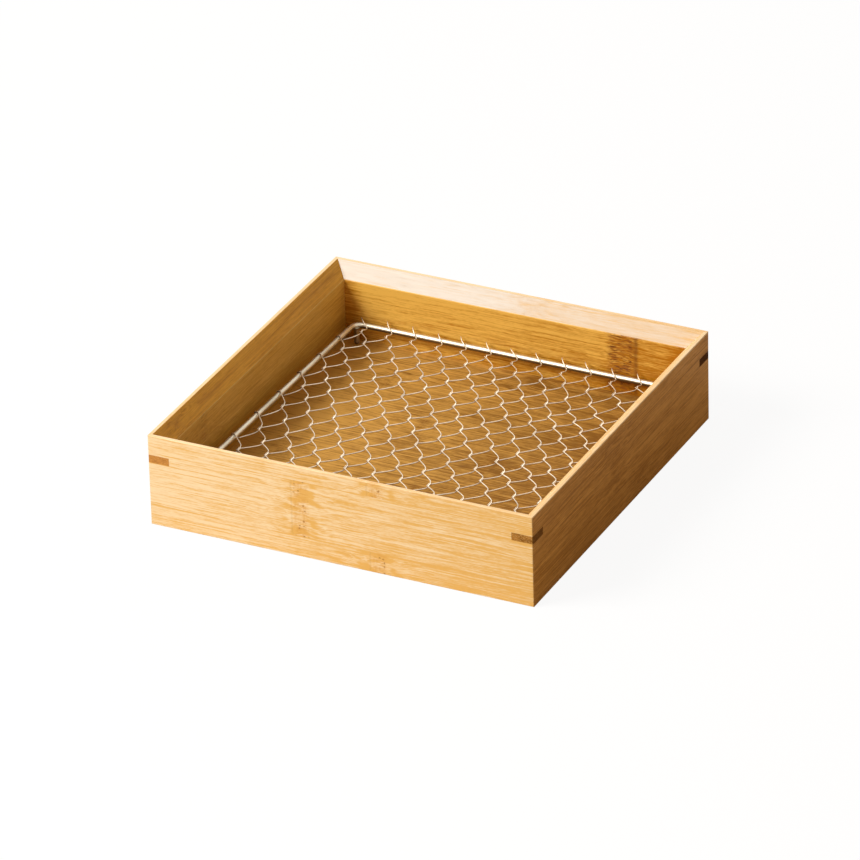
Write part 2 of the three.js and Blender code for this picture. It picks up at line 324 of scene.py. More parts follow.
def bambooMaterial(name, look):
    material, flow = newMaterial(name)
    place = flow.node("ShaderNodeTexCoord", {}, {}, "Object")
    grain = flow.node("ShaderNodeMapping", {}, {"Vector": place, "Rotation": (0, 0, look["turn"]),
                                                "Scale": (1 / mm, 1 / mm, 1 / mm)})
    along, across, up = parted(grain)
    inner, bevel, rim = faceMasks(look, across, up)
    stackedOn = across if look["flat"] else up
    tone, nodeShare, seed = stripAt(look, stackedOn, inner)
    fromNode = along - (nodeShare * 2 - 1) * look["reach"]

    # The fibres wander, and ripple near a node
    shifted = along + seed * bamboo["seedShift"]
    slab = joined(flow, shifted, across, up)
    wander = noise(flow, stretched(flow, slab, bamboo["waveScale"]), detail=1.0) - 0.5
    ripple = noise(flow, stretched(flow, slab, bamboo["rippleScale"]), detail=1.0) - 0.5
    jag = noise(flow, stretched(flow, grain, cane["jagScale"])) - 0.5
    edge = fromNode + jag * cane["jag"]
    away = edge.math("ABSOLUTE", edge)
    halo = rise(away, *bamboo["rippleReach"])
    rippled = bamboo["rippleFar"] + (1 - bamboo["rippleFar"]) * halo
    bend = wander * bamboo["waveRise"] + ripple * (bamboo["rippleRise"] * rippled)
    fibres = joined(flow, shifted, across + bend, up + bend)

    def fibreNoise(length, thick):
        return noise(flow, stretched(flow, fibres, (1 / length, 1 / thick, 1 / thick)), detail=1.0) - 0.5

    # How dark each place is: its strip, its place on the face (painted light and shade), its fibres, veins
    # and seams
    # Painted light and shade: the lean makes a board paler towards one end and deeper towards the other, as
    # the light falls off along it
    darkness = bamboo["ground"] + (tone - 0.5) * look["tones"] + along * (look["lean"] / look["reach"])
    # Painted shade: an inner face darkens downwards
    darkness = darkness + (look["sinkShadeFrom"] - up) * inner * look["sinkShade"]
    darkness = darkness + rise(fromNode, *bamboo["pastNode"]) * look["beyond"]
    # Painted shade: an inner face darkens towards its corners, where the walls shade it
    fromMiddle = along.math("ABSOLUTE", along)
    corner = rise(fromMiddle, halfInside / mm - bamboo["cornerReach"], halfInside / mm)
    darkness = darkness + corner * inner * look["corners"]
    calm = 1 - bevel * look["bevelCalm"]
    shares = {}
    for mark, (length, thick, dark) in bamboo["marks"].items():
        shares[mark] = fibreNoise(length, thick)
        darkness = darkness + shares[mark] * calm * (dark * look["contrast"])
    darkness = darkness + veinLines(stackedOn, bend, halo, fibreNoise) * look["veins"]
    seam, relief = seamLines(look, grain, stackedOn, bend, inner)
    darkness = darkness + seam * look["seams"]

    # The nodes of the cane
    band = rise(away, look["nodeWidth"], look["nodeWidth"] - cane["soft"])
    offLine = edge - look["lineSide"] * look["nodeWidth"]
    line = rise(offLine.math("ABSOLUTE", offLine), look["lineWidth"], cane["lineCore"])
    line = line * (cane["lineTone"] + jag)
    pecks = rise(fibreNoise(*cane["peckSize"]), *cane["peckEdge"])
    ticks = rise(noise(flow, stretched(flow, grain, cane["tickScale"]), detail=1.0), *cane["tickEdge"])
    darkening = band * (cane["bandTone"] + cane["peckTone"] * pecks + ticks * cane["tickTone"] * (1 - inner))
    flushed = rise(fibreNoise(*cane["flushSize"]), *cane["flushEdge"]) * rise(away, *cane["flushReach"])
    darkness = darkness + flushed * look["flush"]
    spots = flow.node("ShaderNodeTexVoronoi", {"voronoi_dimensions": "2D"}, {
        "Vector": joined(flow, shifted * cane["speckStretch"], stackedOn + bend, 0.0),
        "Scale": 1 / cane["speckGap"]})
    pick = partedColour(Flow(flow.tree, spots.socket.node.outputs["Color"]))[0]
    speck = rise(spots, *cane["speckEdge"]) * flow.math("GREATER_THAN", pick, cane["speckPick"]) * band
    nodeDash = rise(fibreNoise(*cane["dashSize"]), *cane["dashEdge"]) * band * inner
    outerNodes, innerNodes = look["nodes"]
    nodes = (outerNodes + inner * (innerNodes - outerNodes)) * (1 - rim * cane["rimFade"])

    # Painted light and shade: each face's palest and deepest colours are set to how that face is lit
    light, deep = (paintedLightFaceColour(flow, look, which, inner, bevel, rim) for which in (0, 1))
    brown, dark = colour(*look["brown"]), colour(*look["dark"])
    shade = mixed(flow, darkness, light, deep)
    shade = mixed(flow, rise(shares["dash"], *bamboo["dashEdge"]) * look["dashes"], shade, dark)
    shade = mixed(flow, darkening * nodes, shade, brown)
    shade = mixed(flow, nodeDash * nodes, shade, dark)
    shade = mixed(flow, line * nodes * look["lineDark"], shade, dark)
    shade = mixed(flow, speck * nodes * look["specks"], shade, dark)

    high, dull = bamboo["heights"], bamboo["dulling"]
    raised = shares["fibre"] * high["fibre"] - shares["dash"] * high["dash"]
    raised = raised - speck * high["speck"] - line * high["line"]
    finishSurface(flow, {
        "Base Color": shade,
        "Roughness": look["roughness"] + shares["fibre"] * dull["fibre"] + shares["dash"] * dull["dash"],
        "Specular IOR Level": look["gloss"],
    }, raised * relief, bamboo["depth"])
    return material


# A strip is (share of its lower edge, tone, where the cane's node is, seed), from the bottom up or the front
# back; each pair of colours is the palest and the deepest of a face. These pairs hold painted light and
# shade:
# the right wall's outer face and the left wall's inner face and bevel are deepened as painted shade, and the
# back wall's bevel is paled as painted highlight
wallLooks = {
    "front_wall": {
        "strips": [(0.0, 0.66, 21.5, 0.11), (0.225, 0.50, -21.0, 0.47), (0.84, 0.54, 20.5, 0.83)],
        "innerStrips": [(0.0, 0.55, 60.0, 0.39), (0.45, 0.47, -30.0, 0.15)],
        "outer": ((0.965, 0.765, 0.48), (0.84, 0.50, 0.135)),
        "inner": ((0.84, 0.46, 0.13), (0.66, 0.29, 0.04)),
        "bevel": ((0.93, 0.68, 0.38), (0.84, 0.50, 0.20)),
        "lean": 0.3, "lineSide": -1, "contrast": 1.15, "flush": 1.0, "nodes": (0.62, 0.5),
        "dark": (0.46, 0.21, 0.05),
    },
    "right_wall": {
        "strips": [(0.0, 0.58, 22.0, 0.23), (0.28, 0.50, -9.0, 0.61), (0.8, 0.48, -15.0, 0.05)],
        "innerStrips": [(0.0, 0.55, -50.0, 0.33), (0.4, 0.47, 20.0, 0.65)],
        "outer": ((0.715, 0.36, 0.080), (0.42, 0.177, 0.019)),
        "inner": ((0.84, 0.46, 0.13), (0.66, 0.29, 0.04)),
        "bevel": ((0.93, 0.66, 0.34), (0.82, 0.48, 0.18)),
        "lean": -0.18, "lineSide": -1, "nodes": (0.22, 0.5), "flush": 0.3, "gloss": 0.3,
        "brown": (0.36, 0.14, 0.015), "dark": (0.22, 0.08, 0.012),
    },
    "back_wall": {
        "strips": [(0.0, 0.55, 24.0, 0.37), (0.38, 0.50, -52.0, 0.71), (0.775, 0.42, -8.0, 0.19)],
        "innerStrips": [(0.0, 0.50, -60.0, 0.41), (0.9, 0.48, -58.5, 0.77)],
        "outer": ((0.88, 0.56, 0.24), (0.72, 0.37, 0.10)),
        "inner": ((0.81, 0.485, 0.092), (0.44, 0.17, 0.002)),
        "bevel": ((0.66, 0.585, 0.50), (0.65, 0.40, 0.14)),
        "lean": -0.3, "lineSide": -1, "lineWidth": 2.0, "lineDark": 0.8, "sinkShade": 0.02, "beyond": -0.2,
        "corners": 0.8, "bevelCalm": 0.6,
        "nodes": (0.06, 0.95), "nodeWidth": 8.5, "flush": 0.35, "specks": 0.25, "brown": (0.32, 0.105, 0.010),
        "dark": (0.15, 0.045, 0.007),
    },
    "left_wall": {
        "strips": [(0.0, 0.58, -71.0, 0.53), (0.3, 0.52, 66.0, 0.29), (0.68, 0.45, 82.0, 0.97)],
        "innerStrips": [(0.0, 0.50, 62.0, 0.59)],
        "outer": ((0.86, 0.52, 0.20), (0.70, 0.35, 0.08)),
        "inner": ((0.72, 0.475, 0.118), (0.485, 0.277, 0.042)),
        "bevel": ((0.73, 0.375, 0.027), (0.48, 0.205, 0.004)),
        "lean": 0.0, "lineSide": 1, "gloss": 0.25, "nodes": (0.2, 0.3), "specks": 0.5, "sinkShade": 0.033,
        "contrast": 0.8, "flush": 0.3,
        "brown": (0.36, 0.16, 0.02), "dark": (0.22, 0.09, 0.012),
    },
}
wallLook = {
    "flat": False, "from": 0.0, "to": height / mm, "reach": halfSide / mm,
    "innerFrom": -(halfInside + board["ease"]) / mm, "rimTo": (board["rim"] - halfSide) / mm,
    "bevelFrom": (height - board["bevelDrop"]) / mm, "rimFrom": (height - 2 * board["ease"]) / mm,
    "rim": ((0.95, 0.72, 0.42), (0.86, 0.54, 0.22)),
    "contrast": 1.0, "bevelCalm": 0.0, "tones": 1.2, "veins": 0.4, "seams": 0.8, "dashes": 0.05,
    "beyond": 0.0,  # how much a face darkens past its node
    "sinkShade": 0.0, "sinkShadeFrom": 32.0,  # painted shade: how much an inner face darkens downwards, and round what height
    "corners": 0.0,  # painted shade: how much an inner face darkens towards its corners, where the walls shade it
    "nodes": (0.5, 0.5),  # how strong a node is outside and inside
    "nodeWidth": 5.0, "lineWidth": 0.8, "lineDark": 0.35, "specks": 1.4, "flush": 0.5,
    "gloss": 0.4, "roughness": 0.42, "brown": (0.74, 0.38, 0.08), "dark": (0.36, 0.16, 0.03),
}
panelLook = {
    **wallLook,
    "flat": True, "turn": 0.0, "from": -halfInside / mm, "to": halfInside / mm, "reach": halfInside / mm,
    "innerFrom": halfSide / mm, "rimTo": halfSide / mm,
    "strips": [(0.0, 0.5, -40.0, 0.13), (0.11, 0.42, 55.0, 0.31), (0.22, 0.56, 8.0, 0.57),
               (0.33, 0.47, -72.0, 0.91), (0.44, 0.58, 30.0, 0.43), (0.55, 0.44, -18.0, 0.77),
               (0.66, 0.54, 76.0, 0.21), (0.77, 0.46, -55.0, 0.67), (0.88, 0.52, 15.0, 0.03)],
    "innerStrips": [(0.0, 0.5, 0.0, 0.5)],
    # Painted light and shade: the panel's lean pales its left half and deepens its right half
    "outer": ((0.655, 0.355, 0.078), (0.275, 0.123, 0.019)),
    "lean": 0.55, "lineSide": 1, "tones": 0.8, "veins": 0.3, "seams": 0.5, "dashes": 0.08, "specks": 0.5,
    "nodeWidth": 4.0, "gloss": 0.08, "roughness": 0.6,
    "brown": (0.26, 0.10, 0.012), "dark": (0.16, 0.055, 0.008),
}
panelLook["inner"] = panelLook["bevel"] = panelLook["rim"] = panelLook["outer"]

inlay = {
    "hairline": 0.00004,  # what a board leaves for glue round a key and at its mitre
    "sawOverrun": 20,  # how far the saw runs out of the corner, in hairlines
    # The rest is in millimetres, and scales in repeats a millimetre along, across and up
    "poreSpacing": 0.62,
    "poreScale": (0.75, 0.75, 1.15),
    "poreEdge": (0.48, 0.2),
    "poreTone": 0.6,
    "cloudScale": (0.25, 0.25, 0.4),
    "cloudEdge": (0.45, 0.75),
    "cloudTone": 0.6,
    "gritScale": (1.0, 1.0, 2.2),
    "gritEdge": (0.5, 0.7),
    "gritTone": 0.5,
    "shadeSideBlend": 0.5,
    "roughness": 0.55,
    "gritRoughness": 0.25,
    "gloss": 0.03,
    "relief": 0.5,
    "depth": 0.00005,
}
# Each key's pores, body and deepest patches, and how far its second side goes over to the deepest, as painted
# shade on that side
keyTones = {
    "front_right": ((0.73, 0.44, 0.155), (0.44, 0.207, 0.044), (0.119, 0.042, 0.005), 0.72),
    "back_right": ((0.16, 0.06, 0.008), (0.09, 0.028, 0.002), (0.04, 0.012, 0.001), 0.0),
    "back_left": ((0.50, 0.25, 0.07), (0.38, 0.16, 0.03), (0.20, 0.07, 0.010), 0.2),
    "front_left": ((0.73, 0.38, 0.113), (0.59, 0.272, 0.068), (0.35, 0.14, 0.034), 0.0),
}


def keyMaterial(name, turn, tones):
    material, flow = newMaterial(name)
    place = flow.node("ShaderNodeTexCoord", {}, {}, "Object")
    scaled = flow.node("ShaderNodeMapping", {}, {"Vector": place, "Rotation": (0, 0, turn),
                                                 "Scale": (1 / mm, 1 / mm, 1 / mm)})
    pores = flow.node("ShaderNodeTexVoronoi", {}, {"Vector": stretched(flow, scaled, inlay["poreScale"]),
                                                   "Scale": 1 / inlay["poreSpacing"]})
    pore = rise(pores, *inlay["poreEdge"])
    clouds = noise(flow, stretched(flow, scaled, inlay["cloudScale"]), detail=3.0)
    grit = noise(flow, stretched(flow, scaled, inlay["gritScale"]))
    pale, body, deep = (colour(*tone) for tone in tones[:3])
    along, across = parted(scaled)[:2]
    # Painted shade: a key's second side goes over to its deepest colour
    second = rise(along + across, -inlay["shadeSideBlend"], inlay["shadeSideBlend"]) * tones[3]
    shade = mixed(flow, rise(clouds, *inlay["cloudEdge"]) * inlay["cloudTone"], body, deep)
    shade = mixed(flow, pore * inlay["poreTone"], shade, pale)
    shade = mixed(flow, rise(grit, *inlay["gritEdge"]) * inlay["gritTone"], shade, deep)
    shade = mixed(flow, second, shade, deep)
    finishSurface(flow, {
        "Base Color": shade,
        "Roughness": inlay["roughness"] + (grit - 0.5) * inlay["gritRoughness"],
        "Specular IOR Level": inlay["gloss"],
    }, pore * inlay["relief"] - grit * inlay["relief"], inlay["depth"])
    return material


steel = {
    "smearEdge": (0.35, 0.7),
    "smearRoughness": 0.12,
    "drawnRoughness": 0.1,
    "undersideShadeEdge": (0.3, -0.12),  # where the painted underside shade sets in, as the height of the surface's normal
}
# Painted shade: the undersides are coloured dark for the shade and dark reflection under the steel, and the
# side rods' flanks less so
rodLook = {
    "bright": (0.74, 0.67, 0.53), "dull": (0.60, 0.53, 0.40), "undersideShade": (0.10, 0.085, 0.060),
    "roughness": 0.43, "smear": 0.06, "drawn": 1.4, "depth": 0.00001, "darkening": 0.85, "flanks": 0.55,
}
wireLook = {
    "bright": (0.84, 0.73, 0.57), "dull": (0.62, 0.52, 0.40), "undersideShade": (0.22, 0.16, 0.10),
    "roughness": 0.5, "smear": 0.11, "drawn": 2.2, "depth": 0.000008, "darkening": 0.7, "flanks": 0.0,
}


def steelMaterial(name, look):
    material, flow = newMaterial(name)
    place = flow.node("ShaderNodeTexCoord", {}, {}, "Object")
    scaled = flow.node("ShaderNodeMapping", {}, {"Vector": place, "Scale": (1 / mm, 1 / mm, 1 / mm)})
    smear = noise(flow, scaled, look["smear"], detail=3.0)
    drawn = noise(flow, scaled, look["drawn"], rough=0.65)
    normal = parted(flow.node("ShaderNodeNewGeometry", {}, {}, "Normal"))
    # Painted shade on the undersides, weaker on the side rods' flanks
    darkening = look["darkening"] * (1 - normal[0].math("ABSOLUTE", normal[0]) * look["flanks"])
    shade = mixed(flow, rise(smear, *steel["smearEdge"]), colour(*look["bright"]), colour(*look["dull"]))
    shade = mixed(flow, rise(normal[2], *steel["undersideShadeEdge"]) * darkening, shade, colour(*look["undersideShade"]))
    rough = look["roughness"] + (smear - 0.5) * steel["smearRoughness"]
    finishSurface(flow, {
        "Base Color": shade,
        "Metallic": 1.0,
        "Roughness": rough + (drawn - 0.5) * steel["drawnRoughness"],
    }, drawn, look["depth"])
    return material


def addPiece(name, mesh, material, body, slot, *nodes):
    piece = bpy.data.objects.new(name, mesh)
    bpy.context.scene.collection.objects.link(piece)
    mesh.materials.clear()
    mesh.materials.append(material)
    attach(piece, body)
    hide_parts(*nodes)
    return piece


def toMesh(name, bm):
    mesh = bpy.data.meshes.new(name)
    bm.to_mesh(mesh)
    bm.free()
    return mesh


def cutAway(bm, point, normal):  # takes off what lies beyond the plane and closes the cut
    everything = bm.verts[:] + bm.edges[:] + bm.faces[:]
    cut = bmesh.ops.bisect_plane(bm, geom=everything, plane_co=point, plane_no=normal, clear_outer=True,
                                 dist=onPlane)
    edges = [item for item in cut["geom_cut"] if isinstance(item, bmesh.types.BMEdge)]
    if edges:
        bmesh.ops.edgeloop_fill(bm, edges=edges)


def extruded(bm, points, move):  # a flat outline drawn out into a solid
    face = bm.faces.new([bm.verts.new(point) for point in points])
    drawn = bmesh.ops.extrude_face_region(bm, geom=[face])
    top = [item for item in drawn["geom"] if isinstance(item, bmesh.types.BMVert)]
    bmesh.ops.translate(bm, verts=top, vec=move)
    bmesh.ops.recalc_face_normals(bm, faces=bm.faces)


def smoothed(piece):  # round stretches look round, flat ones stay flat
    piece.data.shade_smooth()
    piece.data.set_sharp_from_angle(angle=sharpFrom)
    weighted = piece.modifiers.new("weighted", "WEIGHTED_NORMAL")
    weighted.keep_sharp = True


def roundCorner(bm, side):  # the upright outer corner at one end of the front
    centre = Vector((side * (halfSide - board["cornerEase"]), -halfSide + board["cornerEase"], 0))
    for step in range(1, board["cornerSteps"]):
        angle = quarter * step / board["cornerSteps"]
        normal = Vector((side * math.sin(angle), -math.cos(angle), 0))
        cutAway(bm, centre + normal * board["cornerEase"], normal)


def boardMesh(name):
    bm = bmesh.new()
    outer, inner = -halfSide, -halfInside
    grooveEnd = -panelHigh.x - board["grooveGap"]
    grooveLow, grooveHigh = panelLow.z - board["grooveGap"], panelHigh.z + board["grooveGap"]
    section = [
        (outer, 0), (inner, 0),
        (inner, grooveLow), (grooveEnd, grooveLow), (grooveEnd, grooveHigh), (inner, grooveHigh),
        (inner, height - board["bevelDrop"]), (outer + board["rim"], height), (outer, height),
    ]
    extruded(bm, [(-halfSide, y, z) for y, z in section], (2 * halfSide, 0, 0))
    eased = []
    for edge in bm.edges:
        middle = (edge.verts[0].co + edge.verts[1].co) / 2
        lengthwise = abs(edge.verts[0].co.x - edge.verts[1].co.x) > halfSide
        inGroove = grooveLow - board["ease"] < middle.z < grooveHigh + board["ease"]
        if lengthwise and not inGroove:
            eased.append(edge)
    bmesh.ops.bevel(bm, geom=eased, offset=board["ease"], segments=board["easeSteps"], profile=0.5,
                    affect="EDGES", material=-1)
    for side in (-1, 1):
        cutAway(bm, (0, -inlay["hairline"], 0), (side, 1, 0))
        roundCorner(bm, side)
    return toMesh(name, bm)


def keyPrism(name, side, spare):  # the slab across a front corner; the saw is the same with some to spare
    bm = bmesh.new()
    leg = keyHigh.x - keyLow.x + spare * math.sqrt(2)
    corner = Vector((side * halfSide, -halfSide, 0))
    proud = spare * inlay["sawOverrun"]
    low = Vector((0, 0, keyLow.z - spare))
    points = [corner + Vector((-side * (leg + proud), -proud, 0)) + low,
              corner + Vector((side * proud, -proud, 0)) + low,
              corner + Vector((side * proud, leg + proud, 0)) + low]
    extruded(bm, points, (0, 0, keyHigh.z - keyLow.z + 2 * spare))
    if not proud:
        roundCorner(bm, side)
    return toMesh(name, bm)


def withKerfs(piece):  # saws both corners' kerfs out of a board
    for side in (-1, 1):
        saw = bpy.data.objects.new("saw", keyPrism("saw", side, inlay["hairline"]))
        bpy.context.scene.collection.objects.link(saw)
        sawing = piece.modifiers.new("kerf", "BOOLEAN")
        sawing.object = saw
        sawing.solver = "EXACT"
        bpy.context.view_layer.update()
        shown = piece.evaluated_get(bpy.context.evaluated_depsgraph_get())
        sawn = bpy.data.meshes.new_from_object(shown)
        piece.modifiers.clear()
        piece.data = sawn
        bpy.data.objects.remove(saw)


def makeWalls():
    for turn, name in enumerate(("front_wall", "right_wall", "back_wall", "left_wall")):
        piece = bpy.data.objects.new(name + "_board", boardMesh(name + "_board"))
        bpy.context.scene.collection.objects.link(piece)
        withKerfs(piece)
        mesh = piece.data
        bpy.data.objects.remove(piece)
        mesh.transform(Matrix.Rotation(quarter * turn, 4, "Z"))
        look = {**wallLook, **wallLooks[name], "turn": -quarter * turn}
        material = bambooMaterial(name + "_bamboo", look)
        smoothed(addPiece(name + "_board", mesh, material, "tray", "bamboo_wall", name))
    print("walls: four mitred boards with their kerfs")


def makeKeys():
    for turn, name in enumerate(("front_right", "back_right", "back_left", "front_left")):
        material = keyMaterial("darkBamboo_" + name, -quarter * turn, keyTones[name])
        mesh = keyPrism("key", 1, 0)
        mesh.transform(Matrix.Rotation(quarter * turn, 4, "Z"))
        node = "key_" + name
        smoothed(addPiece(node + "_inlay", mesh, material, "tray", "dark_bamboo", node))
    print("keys: four, each across a corner")


def makePanel():
    bm = bmesh.new()
    half = panelHigh.x
    points = [(-half, -half, panelLow.z), (half, -half, panelLow.z), (half, half, panelLow.z),
              (-half, half, panelLow.z)]
    extruded(bm, points, (0, 0, panelHigh.z - panelLow.z))
    bmesh.ops.bevel(bm, geom=bm.edges[:], offset=board["ease"], segments=board["easeSteps"] - 1, profile=0.5,
                    affect="EDGES", material=-1)
    material = bambooMaterial("panel_bamboo", panelLook)
    smoothed(addPiece("bottom_panel_board", toMesh("panel", bm), material, "tray", "bamboo_panel",
                      "bottom_panel"))
    print("panel: in its groove")


ring = {
    "rodRadius": 0.0015,
    "bendRadius": 0.005,
    "frontHalfWidth": 0.0918,
    "backHalfWidth": 0.0888,
    "halfDepth": 0.0928,
    "bendSteps": 10,
    "sidesLevel": 8,  # how round the rod is drawn
    "weldSwell": 0.2,  # how much thicker the rod is at its weld, as a share
    "weldHalfLength": 0.0018,
    # Shares of the weld's half length, and of its swell
    "weldShape": ((-1, 0), (-0.7, 0.55), (-0.35, 0.95), (0, 1), (0.35, 0.9), (0.7, 0.5), (1, 0)),
}
foot = {
    "tipSteps": 5,
    "turnSteps": 24,
    "neckDrop": 1.6,  # its heights are in radii of the rod: the neck is so far under the rod's middle
    "weld": ((0, 0), (0.5, 0.4), (1, 1)),  # heights over the neck, and shares of the swell
    "swell": 0.0006,
    "top": 1.4,
}


def halfWidthAt(y):
    share = (y + ring["halfDepth"]) / (2 * ring["halfDepth"])
    return ring["frontHalfWidth"] + (ring["backHalfWidth"] - ring["frontHalfWidth"]) * share


def ringBends():  # the rod's middle line round each corner, from the front right round to the front left
    wide, narrow, deep = ring["frontHalfWidth"], ring["backHalfWidth"], ring["halfDepth"]
    corners = [Vector(place) for place in ((wide, -deep), (narrow, deep), (-narrow, deep), (-wide, -deep))]
    bends = []
    for i, corner in enumerate(corners):
        back = (corners[i - 1] - corner).normalized()
        ahead = (corners[(i + 1) % 4] - corner).normalized()
        halfAngle = back.angle(ahead) / 2
        centre = corner + (back + ahead).normalized() * ring["bendRadius"] / math.sin(halfAngle)
        start = corner + back * ring["bendRadius"] / math.tan(halfAngle) - centre
        turn = math.pi - 2 * halfAngle
        bends.append([centre + Matrix.Rotation(turn * step / ring["bendSteps"], 2) @ start
                      for step in range(ring["bendSteps"] + 1)])
    return bends


def curveMesh(name, lines, radius, sidesLevel, closed):
    # Lines are lists of (point, thickness share); each becomes a tube
    data = bpy.data.curves.new(name, "CURVE")
    data.dimensions = "3D"
    data.bevel_depth = radius
    data.bevel_resolution = sidesLevel
    data.use_fill_caps = not closed
    for line in lines:
        spline = data.splines.new("POLY")
        spline.points.add(len(line) - 1)
        for point, (place, share) in zip(spline.points, line):
            point.co = (*place, 1)
            point.radius = share
        spline.use_cyclic_u = closed
        spline.use_smooth = True
    drawn = bpy.data.objects.new(name, data)
    bpy.context.scene.collection.objects.link(drawn)
    bpy.context.view_layer.update()
    shown = drawn.evaluated_get(bpy.context.evaluated_depsgraph_get())
    mesh = bpy.data.meshes.new_from_object(shown)
    bpy.data.objects.remove(drawn)
    bm = bmesh.new()
    bm.from_mesh(mesh)
    bmesh.ops.remove_doubles(bm, verts=bm.verts, dist=samePlace)  # the ends are loose caps until then
    bmesh.ops.recalc_face_normals(bm, faces=bm.faces)
    bm.to_mesh(mesh)
    bm.free()
    mesh.shade_smooth()
    return mesh


def makeFrame(material):
    deep = -ring["halfDepth"]
    line = [(Vector((x * ring["weldHalfLength"], deep, rodLevel)), 1 + ring["weldSwell"] * swell)
            for x, swell in ring["weldShape"]]
    for bend in ringBends():
        line += [(Vector((*point, rodLevel)), 1) for point in bend]
    mesh = curveMesh("rod", [line], ring["rodRadius"], ring["sidesLevel"], True)
    addPiece("rack_frame_rod", mesh, material, "rack", "rod_steel", "rack_frame")
    print("frame: one rod, bent and welded")


def footMesh(name, centre):
    bm = bmesh.new()
    radius = ring["rodRadius"]
    neck = rodLevel - radius * foot["neckDrop"]
    profile = []
    for step in range(foot["tipSteps"] + 1):
        angle = quarter * step / foot["tipSteps"]
        profile.append((radius * math.sin(angle), 0, panelHigh.z + radius * (1 - math.cos(angle))))
    for up, share in foot["weld"]:
        profile.append((radius + foot["swell"] * share, 0, neck + radius * up))
    profile.append((0, 0, neck + radius * foot["top"]))
    corners = [bm.verts.new(point) for point in profile]
    edges = [bm.edges.new(pair) for pair in zip(corners, corners[1:])]
    bmesh.ops.spin(bm, geom=corners + edges, cent=(0, 0, 0), axis=(0, 0, 1), angle=2 * math.pi,
                   steps=foot["turnSteps"], use_merge=True)
    bmesh.ops.remove_doubles(bm, verts=bm.verts, dist=samePlace)
    bmesh.ops.recalc_face_normals(bm, faces=bm.faces)
    bmesh.ops.translate(bm, verts=bm.verts, vec=(centre.x, centre.y, 0))
    return toMesh(name, bm)


def makeFeet(material):
    for corner in ("front_right", "back_right", "back_left", "front_left"):
        node = "rack_foot_" + corner
        low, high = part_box(node)
        mesh = footMesh(node, (low + high) / 2)
        smoothed(addPiece(node + "_pin", mesh, material, "rack", "rod_steel", node))
    print("feet: four pins under the bends")


net = {
    "wireRadius": 0.00032,
    "sidesLevel": 1,
    "twistLength": 0.0034,
    "twistTurns": 1.5,
    "lastTwistLength": 0.0017,  # beside the front and back rods
    "lastTwistTurns": 0.5,
    "twistSteps": 12,
    "rows": 17,
    "halfColumns": 25,
    "firstRowInset": 0.0066,
    "twistSpread": 1.55,  # half the distance between the two wires, in wire radii
    "freeSteps": 9,
    # How far a wire turns away from its straight way, in degrees, and how far that bend reaches, as a share
    "chainLeaves": (-5, 0.9),  # chain wires run to the right as they come forward, and link wires to the left
    "chainMeets": (62, 0.5),
    "linkLeaves": (56, 0.5),
    "linkMeets": (-6, 0.9),
    "hookBend": (58, 1.1),
    "wrapLeaves": (6, 0.9),
    "clear": 0.00003,  # between a wire and the rod that it goes round
    "wrapReach": 0.0022,  # how far a wire moves along a side rod while it goes round it
    "wrapFrom": 65,  # degrees below the rod's inner side, where the wire meets it
    "wrapSteps": 20,
    "hookSteps": 10,
    "hookSweep": 118,  # degrees round the rod, from its inner side
    "hookAside": 0.0006,  # how far right of its twist a wire crosses the rod
    "tipLean": -0.0050,  # how far a loose tip leans aside, and how far it stands off the rod
    "leanRange": (0.5, 1.1),
    "leanPower": 1.4,
    "tipFlare": 0.0023,
    "flareRange": (0.6, 1.1),
    "flarePower": 3,
    "stubLength": 0.0013,
    "stubLift": 0.0007,
    "liftRange": (0.3, 1.0),
    "stubAside": 0.0005,
    "asideRange": (-1.0, 0.2),
    "stubSteps": 3,
    "seed": 11,
    "jitter": 0.00035,
    "holdPower": 6,  # how late the front and back rods take the pulls away
    # Where the net is drawn out of even rows: axis, how far, and the middle, width and depth of the place
    "pulls": [(1, -0.0085, -0.078, -0.045, 0.060, 0.040), (1, -0.0041, 0.010, -0.048, 0.026, 0.026),
              (1, 0.0054, 0.088, 0.075, 0.022, 0.030), (1, -0.0053, 0.058, 0.060, 0.016, 0.022),
              (1, 0.0028, 0.062, -0.038, 0.022, 0.022), (0, 0.0027, 0.040, -0.042, 0.050, 0.030),
              (0, -0.0024, 0.068, 0.062, 0.032, 0.040), (0, 0.0016, -0.070, -0.040, 0.022, 0.024)],
}
aroundRod = ring["rodRadius"] + net["wireRadius"] + net["clear"]  # from the rod's middle to a wire's on it


def netPlace(row, column):  # the middle of a twist: even rows but for the pulls of a hand-made net
    pitch = 2 * (ring["halfDepth"] - net["firstRowInset"]) / (net["rows"] - 1)
    y = ring["halfDepth"] - net["firstRowInset"] - row * pitch
    share = 2 * column / net["halfColumns"] - 1
    x = halfWidthAt(y) * share
    held = 1 - (abs(y) / ring["halfDepth"]) ** net["holdPower"]
    loose = 0 < column < net["halfColumns"]
    shift = Vector((0, 0, 0))
    for axis, amount, cx, cy, wide, deep in net["pulls"]:
        shift[axis] += amount * math.exp(-((x - cx) / wide) ** 2 - ((y - cy) / deep) ** 2)
    return Vector((x + shift.x * loose, y + shift.y * held, rodLevel))


# An end is 1 beside the back rod, -1 beside the front rod and 0 between them
def twistLine(place, fromLeft, end):  # one wire of the two that turn round each other
    points = []
    radius = net["wireRadius"] * net["twistSpread"]
    length, turns = net["twistLength"], net["twistTurns"]
    if end:
        place = place - Vector((0, end * (length - net["lastTwistLength"]) / 2, 0))
        length, turns = net["lastTwistLength"], net["lastTwistTurns"]
    for step in range(net["twistSteps"] + 1):
        share = step / net["twistSteps"]
        angle = quarter * (1 if fromLeft else -1) - 2 * math.pi * turns * share
        along = (0.5 - share) * length
        points.append(place + Vector((radius * math.cos(angle), along, radius * math.sin(angle))))
    return points


